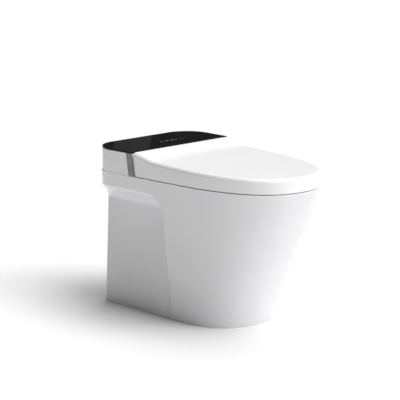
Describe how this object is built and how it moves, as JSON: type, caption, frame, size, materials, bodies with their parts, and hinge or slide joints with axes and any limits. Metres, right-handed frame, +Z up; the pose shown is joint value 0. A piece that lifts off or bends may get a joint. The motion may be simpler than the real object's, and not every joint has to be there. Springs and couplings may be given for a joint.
{
  "type": "smart toilet with heated seat",
  "caption": "One-piece skirted toilet with a lift-up lid over a heated seat, a spray wand, a warm-air dryer and a rear equipment housing under a glass top.",
  "frame": {"origin": "on the floor, under the middle of the toilet's overall length and width", "axes": "+Z up, -Y over the front of the bowl, +Y towards the wall, +X to the left of a person who sits on it"},
  "size_m": [0.398, 0.68, 0.486],
  "materials": {
    "ceramic_glaze": "glossy white vitreous glaze",
    "white_housing": "glossy white moulded plastic",
    "white_lid": "glossy white moulded plastic",
    "white_liner": "satin white moulded plastic",
    "white_seat": "glossy white moulded plastic",
    "seat_underside": "satin white moulded plastic",
    "soft_buffer": "soft off-white silicone",
    "seal_rubber": "black moulded rubber",
    "black_glass": "back-painted black tempered glass",
    "textured_strip": "fine-knurled grey plated plastic",
    "display_mask": "dark indicator mask over a green board",
    "hinge_plastic": "light grey glass-filled nylon",
    "hinge_steel": "ground stainless steel",
    "damper_body": "black acetal",
    "shroud_white": "satin white moulded plastic",
    "wand_steel": "polished stainless steel",
    "wand_tip_plastic": "satin white moulded plastic",
    "acetal": "natural acetal",
    "cradle_grey": "grey moulded plastic",
    "motor_can": "zinc-plated steel",
    "duct_black": "black heat-resistant plastic",
    "heater_mica": "mica board with resistance wire",
    "foil_heater": "bonded aluminium foil over heating wire",
    "fan_blue": "dark moulded plastic",
    "cartridge_grey": "dark grey moulded plastic",
    "chassis_plastic": "light grey flame-retardant plastic",
    "heater_casting": "black glass-filled plastic",
    "control_case": "dark grey flame-retardant plastic",
    "valve_body": "off-white nylon with a dark coil",
    "brass_inlet": "machined brass",
    "gland_nylon": "black nylon",
    "tank_plastic": "milky blow-moulded plastic",
    "pump_body": "black moulded plastic with a steel motor can",
    "button_white": "glossy white moulded plastic",
    "button_grey": "glossy light grey moulded plastic",
    "switch_case": "black moulded plastic"
  },
  "bodies": {
    "bowl": {"ceramic_body": "ceramic_glaze", "outlet_seal": "seal_rubber", "rear_housing": "white_housing", "glass_top_panel": "black_glass", "side_trim_left": "textured_strip", "side_trim_right": "textured_strip", "display_board": "display_mask", "hinge_tower": "hinge_plastic", "hinge_pin_left": "hinge_steel", "hinge_pin_right": "hinge_steel", "lid_damper": "damper_body", "seat_damper": "damper_body", "nozzle_cradle": "cradle_grey", "cradle_stand": "chassis_plastic", "wand_motor": "motor_can", "front_shroud": "shroud_white", "dryer_duct": "duct_black", "fan_housing": "duct_black", "fan_motor": "motor_can", "dryer_heater": "heater_mica", "deodoriser_cartridge": "cartridge_grey", "chassis_tray": "chassis_plastic", "instant_heater": "heater_casting", "control_box": "control_case", "inlet_valve": "valve_body", "water_inlet": "brass_inlet", "power_gland": "gland_nylon", "booster_tank": "tank_plastic", "flush_pump": "pump_body", "flush_diverter": "valve_body", "button_switches": "switch_case"},
    "seat": {"seat_upper_shell": "white_seat", "seat_base": "seat_underside", "seat_heater": "foil_heater", "seat_bumpers": "soft_buffer"},
    "lid": {"lid_shell": "white_lid", "lid_liner": "white_liner", "lid_bumpers": "soft_buffer"},
    "wand": {"wand_tube": "wand_steel", "wand_tip": "wand_tip_plastic", "wand_rack": "acetal"},
    "pinion": {"wand_pinion": "acetal"},
    "flap": {"dryer_flap": "shroud_white"},
    "fan": {"fan_wheel": "fan_blue"},
    "power_key": {"power_button": "button_white"},
    "flush_key": {"flush_button": "button_grey"}
  },
  "joints": [
    {"name": "seat_hinge", "type": "hinge", "parent": "bowl", "child": "seat", "pos_m": [0, 0.149, 0.476], "axis": [-1, 0, 0], "range_deg": [0, 92]},
    {"name": "lid_hinge", "type": "hinge", "parent": "seat", "child": "lid", "pos_m": [0, 0.149, 0.476], "axis": [1, 0, 0], "range_deg": [-100, 0]},
    {"name": "wand_slide", "type": "slide", "parent": "bowl", "child": "wand", "axis": [0, -0.9063, -0.4226], "range_m": [0, 0.095]},
    {"name": "pinion_spin", "type": "hinge", "parent": "bowl", "child": "pinion", "pos_m": [0, 0.16662, 0.43287], "axis": [-1, 0, 0], "range_deg": [-1, 730]},
    {"name": "dryer_flap_hinge", "type": "hinge", "parent": "bowl", "child": "flap", "pos_m": [0.046, 0.1133, 0.4004], "axis": [-1, 0, 0], "range_deg": [0, 70]},
    {"name": "fan_spin", "type": "hinge", "parent": "bowl", "child": "fan", "pos_m": [0.064, 0.208, 0.425], "axis": [0, 0, 1], "continuous": true},
    {"name": "power_button_press", "type": "slide", "parent": "bowl", "child": "power_key", "axis": [-1, 0, 0], "range_m": [0, 0.002], "stiffness_N_per_m": 300, "springref_m": -0.0015},
    {"name": "flush_button_press", "type": "slide", "parent": "bowl", "child": "flush_key", "axis": [-1, 0, 0], "range_m": [0, 0.002], "stiffness_N_per_m": 300, "springref_m": -0.0015}
  ],
  "couplings": [
    {"joint": "pinion_spin", "follows": "wand_slide", "rad_per_m": 133.33}
  ]
}
